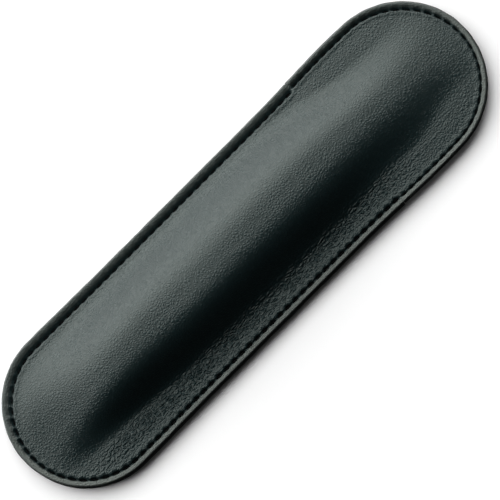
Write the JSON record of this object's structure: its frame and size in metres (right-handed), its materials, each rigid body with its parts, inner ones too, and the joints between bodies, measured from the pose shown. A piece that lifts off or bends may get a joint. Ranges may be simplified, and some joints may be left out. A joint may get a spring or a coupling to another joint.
{
  "type": "fountain pen case",
  "caption": "Slim leather sleeve for a single fountain pen: moulded front, flat lined pocket back, stitched round edge and a lined hood that lifts off the pen's head.",
  "frame": {"origin": "under the middle of the case, on the surface its flat back rests on", "axes": "+X along the case towards the hood, +Y across it, +Z out of the moulded front"},
  "size_m": [0.16, 0.0432, 0.0146],
  "materials": {
    "leather": "fine-grained black nappa with a satin, cool sheen",
    "lining": "short-napped black lining cloth",
    "edge_paint": "black satin edge paint",
    "thread": "twisted black polyester sewing thread"
  },
  "bodies": {
    "sleeve": {"front_panel_sleeve": "leather", "front_lining_sleeve": "lining", "back_panel": "leather", "back_lining": "lining", "edge_coat_sleeve": "edge_paint", "mouth_edge_coat": "edge_paint", "needle_thread_sleeve": "thread", "bobbin_thread_sleeve": "thread", "mouth_tacks": "thread", "mouth_thread": "thread"},
    "hood": {"front_panel_hood": "leather", "front_lining_hood": "lining", "edge_coat_hood": "edge_paint", "needle_thread_hood": "thread", "bobbin_thread_hood": "thread"}
  },
  "joints": [
    {"name": "hood_flex", "type": "hinge", "parent": "sleeve", "child": "hood", "pos_m": [0.037, 0, 0.0114], "axis": [0, -1, 0], "range_deg": [0, 60], "stiffness_Nm_per_rad": 0.002}
  ]
}
